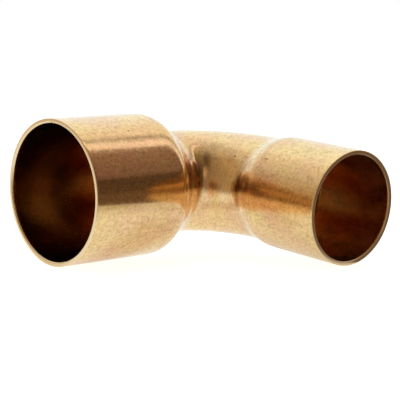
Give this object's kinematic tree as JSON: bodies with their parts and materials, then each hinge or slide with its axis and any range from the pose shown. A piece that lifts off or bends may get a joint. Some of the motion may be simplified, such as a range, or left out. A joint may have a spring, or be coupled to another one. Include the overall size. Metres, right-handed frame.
{
  "type": "pipe elbow",
  "caption": "Seamless copper reducing elbow, 90 degrees, with a large and a small solder socket.",
  "frame": {"origin": "centre of the large socket's mouth", "axes": "+X out of the large socket along its axis, +Y out of the small socket along its axis, +Z square to the plane of the bend"},
  "size_m": [0.0584, 0.0564, 0.0306],
  "materials": {
    "copper": null
  },
  "bodies": {
    "root": {"elbow_body": "copper"}
  },
  "joints": []
}
